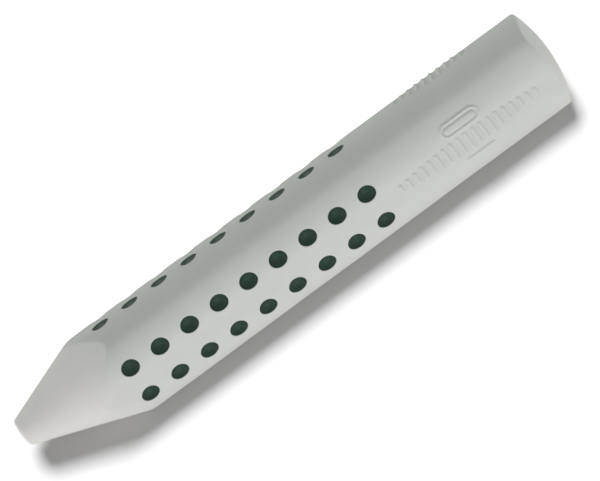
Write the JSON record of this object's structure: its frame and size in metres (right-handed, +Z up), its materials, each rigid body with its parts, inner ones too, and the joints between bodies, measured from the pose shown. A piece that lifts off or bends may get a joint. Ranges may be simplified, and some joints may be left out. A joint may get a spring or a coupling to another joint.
{
  "type": "triangular eraser stick",
  "caption": "Three-sided moulded eraser stick with a blunt conical tip, a domed end and rows of recessed grip dots, used for erasing and softening pencil drawings.",
  "frame": {"origin": "centre of the bounding box of the stick lying on one face, at the level it rests on", "axes": "+X along the stick from the tip to the domed end, +Z up from the resting face, and -Y towards the face that carries the larger raised mark"},
  "size_m": [0.0904, 0.015, 0.0146],
  "materials": {
    "outer_body": "pale warm grey eraser compound, matt, very fine moulded grain",
    "grip_core": "dark bottle-green elastomer, satin in the dished dots"
  },
  "bodies": {
    "root": {"outer_body": "outer_body", "grip_core": "grip_core"}
  },
  "joints": []
}
